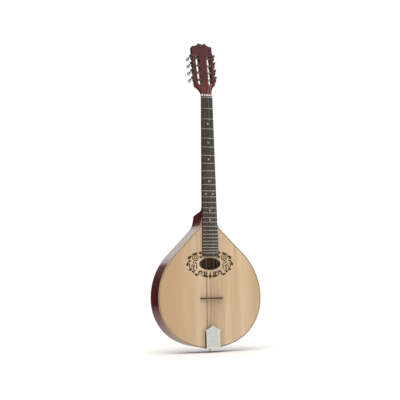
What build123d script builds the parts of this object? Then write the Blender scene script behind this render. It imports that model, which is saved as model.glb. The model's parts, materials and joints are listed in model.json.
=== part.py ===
from build123d import *
import os
from math import atan2, cos, degrees, radians, sin

# A flat-backed bouzouki with eight strings in four courses, standing upright on its strap button.
# Millimetres. +Z runs up along the neck, -Y faces out of the soundboard, +X is the viewer's right.
# The origin is the centre of the strap button's outer face.

# Strings and fingerboard
SCALE = 660.0              # zero fret to bridge
FRET_COUNT = 26
JOINT_FRET = 16            # the neck meets the body here
NUT_WIDTH = 38.0
BOARD_END_WIDTH = 54.0
BOARD_THICKNESS = 6.0
BOARD_OVERHANG = 12.0      # fingerboard past the last fret
FRET_HEIGHT = 1.1
FRET_WIDTH = 2.4
TANG_WIDTH = 0.6
TANG_DEPTH = 2.2
DOT_RADIUS = 2.6
DOT_DEPTH = 1.2
DOUBLE_DOT_SPREAD = 12.6
SINGLE_DOT_FRETS = (3, 5, 7, 10, 15, 17)
DOUBLE_DOT_FRET = 12

# Body, seen from the front: each side is three arcs, a straight shoulder and a reversed arc
BODY_DEPTH = 80.0
TAIL_Z = 14.0
TAIL_ARC = (213.0, 26.0)       # radius, degrees
LOWER_BOUT_ARC = (152.0, 57.5)
UPPER_BOUT_ARC = (198.0, 51.5)
NECK_ARC = (56.5, 45.0)
BODY_TOP_HALF_WIDTH = 25.5
PLATE_THICKNESS = 3.0
SIDE_THICKNESS = 2.4
BINDING_WIDTH = 2.0
LINING_WIDTH = 6.0
LINING_DEPTH = 9.0
NECK_BLOCK_HEIGHT = 52.0
TAIL_BLOCK_HEIGHT = 26.0
TAIL_BLOCK_WIDTH = 84.0

# Soundhole and rosette, both oval
SOUNDHOLE_WIDTH = 75.0
SOUNDHOLE_HEIGHT = 40.0
ROSETTE_WIDTH = 167.0
ROSETTE_HEIGHT = 86.0
ROSETTE_LIP = 5.0
ROSETTE_DEPTH = 0.8
SOUNDHOLE_GAP = 3.5            # fingerboard end to soundhole

# Neck
NECK_RISE = 4.0                # the neck's top surface over the soundboard
NECK_BACK_AT_NUT = 14.0
NECK_BACK_SLIM = 14.5
NECK_BACK_AT_HEEL = 17.0
SLIM_BELOW_NUT = 32.0
NECK_CORNER = 13.0               # radius of the rounded back
HEEL_SWEEP = 34.0
HEEL_CAP = 9.0
HEEL_TURN = (15.0, 14.0)         # back and down, where the heel leaves the shaft
HEEL_STEPS = 5                   # sections in that turn
HEEL_CORNER = 4.0
HEEL_BEVEL = 3.0
TENON_WIDTH = 20.0
TENON_LENGTH = 16.0
TENON_DEPTH = 60.0
TENON_SHOULDER = 2.0             # stands out of the body into the heel
ROD_WIDTH = 6.0
ROD_DEPTH = 9.0
ROD_MARGIN = 8.0                 # wood left at both ends of the rod's channel

# Nut
NUT_GAP = 4.2                  # zero fret to nut
NUT_LENGTH = 6.0
NUT_STANDS_OVER_FRET = 0.6
NUT_SLOT_CLEARANCE = 0.25        # on each side of a string
NUT_SLOT_UNDER_FRET = 0.5      # the slots' floor below the zero fret's top

# Headstock, leaning back from the nut
HEAD_TILT = 10.5
HEAD_THICKNESS = 20.0
HEAD_THROAT = 14.5               # thickness at the nut
HEAD_FACE_DROP = 4.5           # below the fingerboard's surface, at the nut
HEAD_HALF_WIDTH = 35.0
HEAD_SHOULDER = 32.5
HEAD_CORNER = 174.0
HEAD_CREST = 184.5
HEAD_CHEEK = 6.0                 # straight length beside the nut
HEAD_CORNER_CUT = 0.8            # across the crest's outer corners
HEAD_SHOULDER_CUT = 2.0
THROAT_CHAMFER = 9.5             # on the throat's back corners at the nut, fading towards the shoulders
HEAD_EDGE = 1.2                  # radius of the face's rounded edge
HEAD_EDGE_FROM = 4.0
THROAT_FROM = -4.0               # the headstock's wood starts under the nut
CREST_BUMP = 11.0                # each bump's distance from the middle
CREST_BUMP_HALF = 2.5
CREST_SCOOP = 12.0               # from the corner to the scoop's lowest place
CREST_DIP = 3.6
SLOT_WIDTH = 14.0
SLOT_FROM = 35.5
SLOT_TO = 140.0
SLOT_NEAR_X = 18.3
SLOT_FAR_X = 20.3
RAMP_WIDTH = 9.0
RAMP_ALONG = (-11.0, 6.0)        # from the slot's near end
RAMP_DEPTH = 4.5

# Tuning machines, four on each side
TUNERS_PER_SIDE = 4
POST_FIRST = 53.7
POST_PITCH = 25.8
POST_DEPTH = 7.0               # axis below the headstock's face
POST_RADIUS = 3.0
RUNNING = 0.05                 # radial clearance of a turning shaft
POST_INNER_END = 6.5
POST_NECK_RADIUS = 2.0
PLATE_STRIP = 1.2
PLATE_WIDTH = 14.0
PLATE_END_MARGIN = 13.0          # before the first post
PLATE_END = 3.0                # past the last ear
PLATE_SCREW_MARGIN = 3.5         # from the plate's near end to its first screw
PLATE_SCREW_BEFORE_POST = 8.2    # the other screws
GEAR_TEETH = 14
GEAR_RADIUS = 6.0
GEAR_ROOT = 4.9
GEAR_TIP_SHARE = 0.15          # half a tooth's width at its tip, as a share of the pitch
GEAR_ROOT_SHARE = 0.32         # and at its root
GEAR_THICKNESS = 2.6
GEAR_X = 40.0                  # middle of the gear's thickness
WORM_OFFSET = 9.5              # worm axis past the gear's axis, away from the nut
WORM_RADIUS = 3.3
WORM_ROOT = 2.3
WORM_LENGTH = 9.0
WORM_TURNS = 4
SHAFT_RADIUS = 1.6
EAR_THICKNESS = 1.2
EAR_WIDTH = 8.0
EAR_GAP = 0.2
EAR_OUTER_X = 44.0
BUTTON_FROM = 30.0             # below the face
BUTTON_LENGTH = 20.0
BUTTON_WIDTH = 15.5
BUTTON_THICKNESS = 7.0
BUTTON_COLLAR = 3.4            # half its width at the shaft
BUTTON_WIDEST = 11.0           # from the collar
BUTTON_EDGE = 2.4
BUTTON_SOCKET = 7.0
BUTTON_SOCKET_OUT = -BUTTON_FROM - BUTTON_SOCKET
SHAFT_PAST_EAR = 0.6

# Bridge and strings
BRIDGE_HEIGHT = 16.0
BRIDGE_LENGTH = 78.0
BRIDGE_SHIFT = 2.5               # to the right of the strings' middle
BRIDGE_BASE = 5.0
BRIDGE_TOP = 2.4
BRIDGE_ARCH = (14.0, 3.0)        # half width and height of the gap between its feet
BRIDGE_END = (9.0, 10.0)         # run and drop of its sloping ends
COURSE_GAP_AT_NUT = 9.0
COURSE_GAP_AT_BRIDGE = 13.5
PAIR_GAP_AT_NUT = 2.2
PAIR_GAP_AT_BRIDGE = 3.0
STRING_RADII = (0.58, 0.42, 0.3, 0.22)     # from the lowest course, on the viewer's left
STRING_CLEARANCE = 0.15
STRING_BEND = 12.0              # bend radius where a string changes direction
BRIDGE_STRING_GAP = 0.25         # the strings bend over the bridge's middle
POST_STRING_X = (18.3, 18.3, 18.3, 20.0)   # where each post takes its string, from the nut up

# Tailpiece
TAILPIECE_WIDTH = 47.0
TAILPIECE_TIP = 75.0           # above the tail edge
TAILPIECE_EAR = 57.0
TAILPIECE_EAR_REACH = 2.9      # past the cover's sides
TAILPIECE_WAIST = 6.0          # below the ears, where the sides start to flare
TAILPIECE_HEIGHT = 15.0
SHEET = 1.2
BASE_LENGTH = 56.0
BASE_WRAP = 52.0                 # under the tail, past the strap button
BASE_WRAP_INSET = 4.0            # narrower than the plate on each side
HOOK_Z = 46.0                  # above the tail edge
HOOK_HEIGHT = 5.0
HOOK_WIDTH = 1.8
HOOK_THICKNESS = 1.6
TAIL_SPREAD = 0.8              # string spacing at the hooks, as a share of the bridge's
COVER_CLEARANCE = 0.3
TAIL_SCREW_SPREAD = (10.0, 14.0)   # steps from the strap button, across and in depth

# Strap button
BUTTON_BEHIND_FACE = 15.0      # its axis behind the soundboard's face
BUTTON_FLANGE_RADIUS = 5.5
BUTTON_WAIST_RADIUS = 3.8
BUTTON_SHANK_RADIUS = 3.6
BUTTON_SHANK_LENGTH = 24.0

FRONT = -BUTTON_BEHIND_FACE
BACK = FRONT + BODY_DEPTH
BOARD_BOTTOM = FRONT - NECK_RISE
BOARD_FACE = BOARD_BOTTOM - BOARD_THICKNESS


def fret_distance(number):
    """From the zero fret to a fret, in equal temperament."""
    return SCALE * (1 - 2 ** (-number / 12))


def side_curves(inset):
    """The right half of the body outline, moved inwards by inset, from the tail to the neck."""
    heading = 0.0
    curves = []
    start = Vector(0, TAIL_Z + inset)
    for radius, sweep in (TAIL_ARC, LOWER_BOUT_ARC, UPPER_BOUT_ARC):
        curves.append(JernArc(start, Vector(1, 0).rotate(Axis.Z, heading), radius - inset, sweep))
        heading += sweep
        start = curves[-1] @ 1
    radius, sweep = NECK_ARC
    radius += inset
    turned = radius * (1 - cos(radians(sweep)))
    run = (start.X - (BODY_TOP_HALF_WIDTH - inset) - turned) / -cos(radians(heading))
    shoulder = start + Vector(cos(radians(heading)), sin(radians(heading))) * run
    curves.append(Line(start, shoulder))
    curves.append(JernArc(shoulder, Vector(1, 0).rotate(Axis.Z, heading), radius, -sweep))
    return curves


BODY_TOP = (side_curves(0.0)[-1] @ 1).Y
ZERO_FRET = BODY_TOP + fret_distance(JOINT_FRET)
BRIDGE_Z = ZERO_FRET - SCALE
NUT_BOTTOM = ZERO_FRET + NUT_GAP
NUT_TOP = NUT_BOTTOM + NUT_LENGTH
BOARD_END = ZERO_FRET - fret_distance(FRET_COUNT) - BOARD_OVERHANG
SOUNDHOLE_Z = BOARD_END - SOUNDHOLE_GAP - SOUNDHOLE_HEIGHT / 2

# The headstock's own frame: x as the row, y up along its face, z out of its face
HEAD = Plane(
    origin=(0, BOARD_FACE + HEAD_FACE_DROP, NUT_TOP),
    x_dir=(1, 0, 0),
    z_dir=(0, -cos(radians(HEAD_TILT)), sin(radians(HEAD_TILT))),
)


def slab(face, front, back):
    """A face drawn in X and Z, as a solid from y = front to y = back."""
    return extrude(Plane.XZ.offset(-back) * face, back - front)


def block(x_range, y_range, z_range):
    """An upright box between three pairs of limits."""
    (x0, x1), (y0, y1), (z0, z1) = x_range, y_range, z_range
    corner = Pos((x0 + x1) / 2, (y0 + y1) / 2, (z0 + z1) / 2)
    return corner * Box(x1 - x0, y1 - y0, z1 - z0)


def rod(start, end, radius):
    """A round bar between two points."""
    axis = Vector(*end) - Vector(*start)
    return extrude(Plane(origin=start, z_dir=axis) * Circle(radius), axis.length)


def in_head(x, along, out):
    """A point of the headstock's own frame, in the row's frame."""
    return HEAD.from_local_coords(Vector(x, along, out))


def board_half_width(z):
    """Half the fingerboard's width at a height."""
    slope = (BOARD_END_WIDTH - NUT_WIDTH) / fret_distance(FRET_COUNT)
    return (NUT_WIDTH + slope * (ZERO_FRET - z)) / 2


def body_face(inset):
    """The body's outline moved inwards by inset, cut square at the neck."""
    right = Curve() + side_curves(inset)
    half = BODY_TOP_HALF_WIDTH - inset
    end = Line((half, BODY_TOP), (-half, BODY_TOP))
    face = make_face((Curve() + [right, mirror(right, Plane.YZ), end]).edges())
    if inset:
        face -= Pos(0, BODY_TOP) * Rectangle(2 * BODY_TOP_HALF_WIDTH, 2 * inset)
    return face


def body_rim(outer, inner, front, back):
    """A band that follows the body's outline between two insets."""
    return slab(body_face(outer), front, back) - slab(body_face(inner), front, back)


def oval(width, height):
    return Pos(0, SOUNDHOLE_Z) * Ellipse(width / 2, height / 2)


# ---- Soundbox ----

def rosette():
    ring = oval(ROSETTE_WIDTH, ROSETTE_HEIGHT)
    ring -= oval(SOUNDHOLE_WIDTH + 2 * ROSETTE_LIP, SOUNDHOLE_HEIGHT + 2 * ROSETTE_LIP)
    return slab(ring, FRONT, FRONT + ROSETTE_DEPTH)


def soundboard():
    plate = slab(body_face(BINDING_WIDTH), FRONT, FRONT + PLATE_THICKNESS)
    hole = slab(oval(SOUNDHOLE_WIDTH, SOUNDHOLE_HEIGHT), FRONT, FRONT + PLATE_THICKNESS)
    return plate - hole - rosette()


def back_plate():
    return slab(body_face(BINDING_WIDTH), BACK - PLATE_THICKNESS, BACK)


def binding(front):
    return body_rim(0, BINDING_WIDTH, front, front + PLATE_THICKNESS)


def tenon(clearance):
    """The neck's tenon, or its mortise when clearance is more than nothing."""
    half = TENON_WIDTH / 2 + clearance
    front = FRONT + PLATE_THICKNESS
    low = BODY_TOP - TENON_LENGTH - clearance
    return block((-half, half), (front, front + TENON_DEPTH), (low, BODY_TOP))


def strap_button_hole():
    top = TAIL_Z + BUTTON_SHANK_LENGTH
    return rod((0, 0, TAIL_Z - SHEET), (0, 0, top), BUTTON_SHANK_RADIUS)


def sides():
    inner_front = FRONT + PLATE_THICKNESS
    inner_back = BACK - PLATE_THICKNESS
    band = body_rim(0, SIDE_THICKNESS, inner_front, inner_back)
    return band - tenon(0) - strap_button_hole() - tailpiece_screw_set()


def end_block(z_range, half_width):
    """A block glued inside the sides, cut to their curve."""
    inner_front = FRONT + PLATE_THICKNESS
    inner_back = BACK - PLATE_THICKNESS
    cavity = slab(body_face(SIDE_THICKNESS), inner_front, inner_back)
    return cavity & block((-half_width, half_width), (inner_front, inner_back), z_range)


def neck_block():
    return end_block((BODY_TOP - NECK_BLOCK_HEIGHT, BODY_TOP), BODY_DEPTH) - tenon(0)


def tail_block():
    z_range = (TAIL_Z, TAIL_Z + TAIL_BLOCK_HEIGHT)
    solid = end_block(z_range, TAIL_BLOCK_WIDTH / 2)
    return solid - strap_button_hole() - tailpiece_screw_set()


def linings():
    """Two strips that widen the sides' glued edges, stopping at the blocks."""
    inner_front = FRONT + PLATE_THICKNESS
    inner_back = BACK - PLATE_THICKNESS
    inner = SIDE_THICKNESS + LINING_WIDTH
    strips = body_rim(SIDE_THICKNESS, inner, inner_front, inner_front + LINING_DEPTH)
    strips += body_rim(SIDE_THICKNESS, inner, inner_back - LINING_DEPTH, inner_back)
    reach = (FRONT, BACK)
    strips -= block((-BODY_DEPTH, BODY_DEPTH), reach, (BODY_TOP - NECK_BLOCK_HEIGHT, BODY_TOP))
    half = TAIL_BLOCK_WIDTH / 2
    return strips - block((-half, half), reach, (TAIL_Z, TAIL_Z + TAIL_BLOCK_HEIGHT))


def brace_set(y_range, levels, thickness):
    """Crosswise bars at several heights, ending against the linings."""
    cavity = slab(body_face(SIDE_THICKNESS + LINING_WIDTH), *y_range)
    bars = []
    for z in levels:
        bars.append(cavity & block((-SCALE, SCALE), y_range, (z, z + thickness)))
    return bars


def top_braces():
    face = FRONT + PLATE_THICKNESS
    reach = SOUNDHOLE_HEIGHT / 2 + 14
    levels = (BRIDGE_Z - 60, BRIDGE_Z + 30, SOUNDHOLE_Z - reach, SOUNDHOLE_Z + reach)
    return Compound(brace_set((face, face + 12), levels, 8))


def back_braces():
    face = BACK - PLATE_THICKNESS
    levels = (TAIL_Z + 80, BRIDGE_Z + 15, SOUNDHOLE_Z + 12)
    return Compound(brace_set((face - 12, face), levels, 9))


# ---- Neck ----

def board_plan(low, high):
    """The fingerboard's tapered outline between two heights."""
    wide = board_half_width(low)
    narrow = board_half_width(high)
    return make_face(Polyline((-wide, low), (wide, low), (narrow, high), (-narrow, high), close=True))


def neck_section(z, depth, corner):
    """The neck's cross-section, flat in front with two rounded corners behind."""
    half = board_half_width(z)
    plane = Plane(origin=(0, BOARD_BOTTOM, z), x_dir=(1, 0, 0), z_dir=(0, 0, 1))
    section = Pos(0, depth / 2) * Rectangle(2 * half, depth)
    return plane * fillet(section.vertices().sort_by(Axis.Y)[-2:], corner)


def heel_stations():
    """The heel's sections from the body up: height, depth and corner radius."""
    full = BACK - BOARD_BOTTOM
    cap = BODY_TOP + HEEL_CAP
    stations = [
        (BODY_TOP, full, HEEL_CORNER),
        (cap - HEEL_BEVEL / 2, full, HEEL_CORNER),
        (cap + HEEL_BEVEL / 2, full - HEEL_BEVEL, HEEL_CORNER),
    ]
    back, down = HEEL_TURN
    for step in range(HEEL_STEPS, -1, -1):
        share = step / HEEL_STEPS
        angle = radians(90 * share)
        depth = NECK_BACK_AT_HEEL + back * (1 - cos(angle))
        z = BODY_TOP + HEEL_SWEEP - down * sin(angle)
        stations.append((z, depth, NECK_CORNER + (HEEL_CORNER - NECK_CORNER) * share))
    return stations


def shaft():
    """The neck from the body to the nut: a deep heel, a tight turn and a slim rounded shaft."""
    stations = heel_stations()
    stations.append((NUT_TOP - SLIM_BELOW_NUT, NECK_BACK_SLIM, NECK_CORNER))
    stations.append((NUT_TOP, NECK_BACK_AT_NUT, NECK_CORNER))
    return loft([neck_section(*station) for station in stations], ruled=True)


def head_outline():
    """The headstock's face: concave cheeks, straight sides and a crest with two bumps and a dip."""
    half = HEAD_HALF_WIDTH
    nut_half = NUT_WIDTH / 2
    cheek = (nut_half, THROAT_FROM + HEAD_CHEEK)
    shoulder = (half - HEAD_SHOULDER_CUT, HEAD_SHOULDER)
    side_low = (half, HEAD_SHOULDER + 2 * HEAD_SHOULDER_CUT)
    side_high = (half, HEAD_CORNER - 2 * HEAD_CORNER_CUT)
    corner = (half - HEAD_CORNER_CUT, HEAD_CORNER)
    rise = (CREST_BUMP + CREST_BUMP_HALF, HEAD_CREST - 1.2)
    fall = (CREST_BUMP - CREST_BUMP_HALF, HEAD_CREST - 0.9)
    right = Curve() + [
        Line((nut_half, THROAT_FROM), cheek),
        ThreePointArc(cheek, (nut_half + 3.6, HEAD_SHOULDER * 0.6), shoulder),
        Line(shoulder, side_low),
        Line(side_low, side_high),
        Line(side_high, corner),
        ThreePointArc(corner, (half - CREST_SCOOP, HEAD_CORNER + 1.2), rise),
        ThreePointArc(rise, (CREST_BUMP, HEAD_CREST), fall),
    ]
    dip = ThreePointArc(fall, (0, HEAD_CREST - CREST_DIP), (-fall[0], fall[1]))
    foot = Line((nut_half, THROAT_FROM), (-nut_half, THROAT_FROM))
    return make_face((Curve() + [right, mirror(right, Plane.YZ), dip, foot]).edges())


def throat_cut():
    """A sloping cut behind the throat, which brings the headstock to the neck's depth."""
    start = THROAT_FROM - 1
    under = -HEAD_THICKNESS - 5
    profile = Polyline(
        (start, -HEAD_THROAT),
        (HEAD_SHOULDER - 2, -HEAD_THICKNESS),
        (HEAD_SHOULDER - 2, under),
        (start, under),
        close=True,
    )
    return extrude(Plane.YZ * make_face(profile), HEAD_HALF_WIDTH + 5, both=True)


def throat_chamfers():
    """Cuts that take the throat's square back corners down to the neck's rounded ones."""
    nut_half = NUT_WIDTH / 2
    stations = (
        (THROAT_FROM - 1, nut_half, 1.0),
        (THROAT_FROM + HEAD_CHEEK, nut_half, 0.9),
        (HEAD_SHOULDER * 0.35, nut_half + 1.2, 0.65),
        (HEAD_SHOULDER * 0.6, nut_half + 3.6, 0.35),
        (HEAD_SHOULDER * 0.84, nut_half + 8.5, 0.06),
    )
    slope = (HEAD_THICKNESS - HEAD_THROAT) / (HEAD_SHOULDER - 2 - THROAT_FROM + 1)
    beyond = 2.0
    sections = []
    for along, half, share in stations:
        back = -HEAD_THROAT - slope * (along - THROAT_FROM + 1)
        leg = THROAT_CHAMFER * share
        corner = Polyline(
            (half + beyond, back + leg + beyond),
            (half + beyond, back - beyond),
            (half - leg - beyond, back - beyond),
            close=True,
        )
        sections.append(Plane.XZ.offset(-along) * make_face(corner))
    right = loft(sections, ruled=True)
    return [right, mirror(right, Plane.YZ)]


def head_slot():
    """The right-hand string slot's outline."""
    run = SLOT_TO - SLOT_FROM - SLOT_WIDTH
    lean = degrees(atan2(SLOT_FAR_X - SLOT_NEAR_X, run))
    middle = Pos((SLOT_NEAR_X + SLOT_FAR_X) / 2, (SLOT_FROM + SLOT_TO) / 2)
    return middle * Rot(0, 0, 90 - lean) * SlotCenterToCenter(run, SLOT_WIDTH)


def string_ramp():
    """A sloping cut that leads the strings over the slot's near end."""
    start, end = [SLOT_FROM + step for step in RAMP_ALONG]
    profile = Polyline((end, 1), (start, 1), (start, 0), (end, -RAMP_DEPTH), close=True)
    side = Plane.YZ.offset(SLOT_NEAR_X - RAMP_WIDTH / 2)
    return extrude(side * make_face(profile), RAMP_WIDTH)


def post_position(number):
    return POST_FIRST + POST_PITCH * number


def post_bore(number):
    """The hole for a post, through the outer rail and blind in the middle web."""
    along = post_position(number)
    start = (POST_INNER_END - 0.5, along, -POST_DEPTH)
    end = (HEAD_HALF_WIDTH + 1, along, -POST_DEPTH)
    return rod(start, end, POST_RADIUS + RUNNING)


def headstock():
    solid = extrude(head_outline(), -HEAD_THICKNESS)
    face_edges = solid.faces().sort_by(Axis.Z)[-1].edges()
    rim = face_edges.filter_by(lambda edge: (edge @ 0.5).Y > HEAD_EDGE_FROM)
    solid = fillet(rim, HEAD_EDGE) - throat_cut() - throat_chamfers()
    cuts = [extrude(head_slot(), -HEAD_THICKNESS), string_ramp()]
    cuts += [post_bore(number) for number in range(TUNERS_PER_SIDE)]
    for cut in cuts:
        solid -= cut
        solid -= mirror(cut, Plane.YZ)
    return HEAD * solid - plate_screw_set()


def rod_channel():
    half = ROD_WIDTH / 2
    depth = (BOARD_BOTTOM, BOARD_BOTTOM + ROD_DEPTH)
    return block((-half, half), depth, (BODY_TOP + ROD_MARGIN, NUT_BOTTOM - ROD_MARGIN))


def neck():
    tongue = slab(board_plan(BOARD_END, BODY_TOP + 1), BOARD_BOTTOM, FRONT)
    solid = shaft() + tongue + tenon(0)
    across = (-TENON_WIDTH / 2, TENON_WIDTH / 2)
    solid += block(across, (FRONT, FRONT + TENON_DEPTH), (BODY_TOP, BODY_TOP + TENON_SHOULDER))
    over_board = (BOARD_FACE - HEAD_THICKNESS, BOARD_BOTTOM)
    room_for_board = block((-HEAD_HALF_WIDTH, HEAD_HALF_WIDTH), over_board, (BODY_TOP, NUT_TOP))
    return solid - rod_channel() + (headstock() - room_for_board)


def fret_tang(z, inset):
    half = board_half_width(z) - inset
    depth = (BOARD_FACE, BOARD_FACE + TANG_DEPTH)
    return block((-half, half), depth, (z - TANG_WIDTH / 2, z + TANG_WIDTH / 2))


def fret(z):
    """A wire with a rounded crown on the board and a tang in its slot."""
    half = board_half_width(z)
    section = Plane(origin=(-half, BOARD_FACE, z), x_dir=(0, 0, 1), z_dir=(1, 0, 0))
    low = Pos(0, FRET_HEIGHT / 2) * Rectangle(FRET_WIDTH, FRET_HEIGHT)
    crown = Ellipse(FRET_WIDTH / 2, FRET_HEIGHT) & low
    return extrude(section * crown, 2 * half) + fret_tang(z, 0)


def fret_levels():
    return [ZERO_FRET - fret_distance(number) for number in range(FRET_COUNT + 1)]


def dot(x, number):
    """A round marker let into the board halfway to the fret before it."""
    z = ZERO_FRET - (fret_distance(number) + fret_distance(number - 1)) / 2
    return rod((x, BOARD_FACE, z), (x, BOARD_FACE + DOT_DEPTH, z), DOT_RADIUS)


def dots():
    places = [(0, number) for number in SINGLE_DOT_FRETS]
    places += [(side * DOUBLE_DOT_SPREAD, DOUBLE_DOT_FRET) for side in (-1, 1)]
    return [dot(x, number) for x, number in places]


def fingerboard():
    board = slab(board_plan(BOARD_END, NUT_BOTTOM), BOARD_FACE, BOARD_BOTTOM)
    for z in fret_levels():
        board -= fret_tang(z, -1)
    for marker in dots():
        board -= marker
    return board


def nut():
    top = BOARD_FACE - FRET_HEIGHT - NUT_STANDS_OVER_FRET
    half = NUT_WIDTH / 2
    solid = block((-half, half), (top, BOARD_BOTTOM), (NUT_BOTTOM, NUT_TOP))
    groove_depth = (top, BOARD_FACE - FRET_HEIGHT + NUT_SLOT_UNDER_FRET)
    for radius, path in string_paths():
        x = path[3].X
        reach = radius + NUT_SLOT_CLEARANCE
        solid -= block((x - reach, x + reach), groove_depth, (NUT_BOTTOM, NUT_TOP))
    return solid


# ---- Strings, bridge and tailpiece ----

STRING_START_Y = FRONT - SHEET - HOOK_HEIGHT + 1.5
STRING_START_Z = TAIL_Z + HOOK_Z + HOOK_THICKNESS + 0.4


def string_paths():
    """Each string's radius and the points it runs through, from the tailpiece to its post."""
    paths = []
    count = 2 * len(STRING_RADII)
    for index in range(count):
        radius = STRING_RADII[index // 2]
        place = index // 2 - (len(STRING_RADII) - 1) / 2
        twin = index % 2 - 0.5
        at_nut = place * COURSE_GAP_AT_NUT + twin * PAIR_GAP_AT_NUT
        at_bridge = place * COURSE_GAP_AT_BRIDGE + twin * PAIR_GAP_AT_BRIDGE
        side = 1 if at_nut > 0 else -1
        # the outermost string of each side goes to the post nearest the nut
        number = min(index, count - 1 - index)
        over_post = POST_RADIUS - POST_DEPTH + radius + STRING_CLEARANCE
        fret_y = BOARD_FACE - FRET_HEIGHT - radius
        bridge_y = FRONT - BRIDGE_HEIGHT - BRIDGE_STRING_GAP - radius
        points = [
            Vector(at_bridge * TAIL_SPREAD, STRING_START_Y, STRING_START_Z),
            Vector(at_bridge, bridge_y, BRIDGE_Z),
            Vector(at_nut, fret_y, ZERO_FRET),
            Vector(at_nut, fret_y, NUT_TOP - 1),
            in_head(side * POST_STRING_X[number], post_position(number), over_post),
        ]
        paths.append((radius, points))
    return paths


def string_solid(radius, points):
    """One wire along its points, bent gently at the bridge, the zero fret and the nut."""
    path = FilletPolyline(*points, radius=STRING_BEND)
    section = Plane(origin=points[0], z_dir=points[1] - points[0]) * Circle(radius)
    return sweep(section, path=path)


def strings(courses):
    """The strings of some courses, two to a course."""
    chosen = [path for index, path in enumerate(string_paths()) if index // 2 in courses]
    return Compound([string_solid(radius, points) for radius, points in chosen])


def bridge():
    """A floating bar, narrow on top, standing on two feet."""
    half = BRIDGE_LENGTH / 2
    top = FRONT - BRIDGE_HEIGHT
    run, drop = BRIDGE_END
    arch_half, arch_height = BRIDGE_ARCH
    profile = Polyline(
        (FRONT, BRIDGE_Z - BRIDGE_BASE / 2),
        (FRONT, BRIDGE_Z + BRIDGE_BASE / 2),
        (top, BRIDGE_Z + BRIDGE_TOP / 2),
        (top, BRIDGE_Z - BRIDGE_TOP / 2),
        close=True,
    )
    bar = extrude(Plane.YZ * make_face(profile), half, both=True)
    through = (BRIDGE_Z - BRIDGE_BASE, BRIDGE_Z + BRIDGE_BASE)
    solid = bar - block((-arch_half, arch_half), (FRONT - arch_height, FRONT), through)
    for side in (-1, 1):
        corner = Polyline(
            (side * half, top + drop), (side * (half - run), top), (side * half, top), close=True
        )
        solid -= Pos(0, 0, through[0]) * extrude(make_face(corner), through[1] - through[0])
    return Pos(BRIDGE_SHIFT, 0, 0) * solid


def tailpiece_base():
    """A bent plate on the top and round the tail, with a hook for each string."""
    half = TAILPIECE_WIDTH / 2 - SHEET - COVER_CLEARANCE
    top = block((-half, half), (FRONT - SHEET, FRONT), (TAIL_Z - SHEET, TAIL_Z + BASE_LENGTH))
    wrap_half = half - BASE_WRAP_INSET
    wrap = block((-wrap_half, wrap_half), (FRONT, FRONT + BASE_WRAP), (TAIL_Z - SHEET, TAIL_Z))
    solid = top + wrap
    tall = (FRONT - SHEET - HOOK_HEIGHT, FRONT - SHEET)
    level = (TAIL_Z + HOOK_Z, TAIL_Z + HOOK_Z + HOOK_THICKNESS)
    for _, points in string_paths():
        x = points[0].X
        solid += block((x - HOOK_WIDTH / 2, x + HOOK_WIDTH / 2), tall, level)
    return solid - strap_button_hole() - tailpiece_screw_set()


def crown_outline():
    """The cover's face: square below, with two ears and a pointed tip above."""
    half = TAILPIECE_WIDTH / 2
    ear = TAIL_Z + TAILPIECE_EAR
    reach = half + TAILPIECE_EAR_REACH
    waist = (half, ear - TAILPIECE_WAIST)
    ear_low = (reach, ear + 1)
    ear_high = (reach - 1.2, ear + 2.4)
    right = Curve() + [
        Line((half, TAIL_Z), waist),
        ThreePointArc(waist, (half + 0.8, ear - 2.5), ear_low),
        Line(ear_low, ear_high),
        ThreePointArc(ear_high, (half / 2, ear + 8.3), (0, TAIL_Z + TAILPIECE_TIP)),
    ]
    foot = Line((half, TAIL_Z), (-half, TAIL_Z))
    return make_face((Curve() + [right, mirror(right, Plane.YZ), foot]).edges())


def tailpiece_cover():
    """A shallow tray turned over: face, two sides and an end wall, open towards the bridge."""
    front = FRONT - TAILPIECE_HEIGHT
    back = FRONT - COVER_CLEARANCE
    face = slab(crown_outline(), front, front + SHEET)
    half = TAILPIECE_WIDTH / 2
    high = TAIL_Z + TAILPIECE_EAR - TAILPIECE_WAIST
    walls = block((-half, half), (front, back), (TAIL_Z, high))
    inner = half - SHEET
    walls -= block((-inner, inner), (front + SHEET, back), (TAIL_Z + SHEET, high))
    over_base = FRONT - SHEET - COVER_CLEARANCE
    walls -= block((-inner, inner), (over_base, back), (TAIL_Z, TAIL_Z + SHEET))
    return face + walls


def strap_button():
    """A turned peg with an outer flange, a waist for the strap and a shank in the tail block."""
    seat = TAIL_Z - SHEET
    outline = Polyline(
        (0, 0),
        (BUTTON_FLANGE_RADIUS - 1.5, 0),
        (BUTTON_FLANGE_RADIUS, 1.2),
        (BUTTON_FLANGE_RADIUS, 2.4),
        (BUTTON_WAIST_RADIUS, 4.5),
        (BUTTON_WAIST_RADIUS, seat - 3.5),
        (BUTTON_FLANGE_RADIUS - 0.6, seat - 2),
        (BUTTON_FLANGE_RADIUS - 0.6, seat),
        (BUTTON_SHANK_RADIUS, seat),
        (BUTTON_SHANK_RADIUS, TAIL_Z + BUTTON_SHANK_LENGTH),
        (0, TAIL_Z + BUTTON_SHANK_LENGTH),
        close=True,
    )
    return revolve(Plane.XZ * make_face(outline), Axis.Z)


def wood_screw(plane, head_radius, shank_radius, length):
    """A domed screw with a slotted head; the plane's z points out of the head."""
    dome = Cylinder(head_radius, 1.0, align=(Align.CENTER, Align.CENTER, Align.MIN))
    shank = Cylinder(shank_radius, length, align=(Align.CENTER, Align.CENTER, Align.MAX))
    slot = Pos(0, 0, 1.0) * Box(2 * head_radius, 0.5, 0.8)
    return plane * (dome - slot + shank)


def tailpiece_screw_set():
    """Three screws through the tailpiece's wrap, behind the strap button."""
    across, depth = TAIL_SCREW_SPREAD
    seat = TAIL_Z - SHEET
    screws = []
    for x, steps in ((-across, 1), (across, 1), (0, 2)):
        out = Plane(origin=(x, steps * depth, seat), z_dir=(0, 0, -1))
        screws.append(wood_screw(out, 2.6, 1.3, 14))
    return screws


# ---- Tuning machines, made for the right-hand side ----

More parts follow.
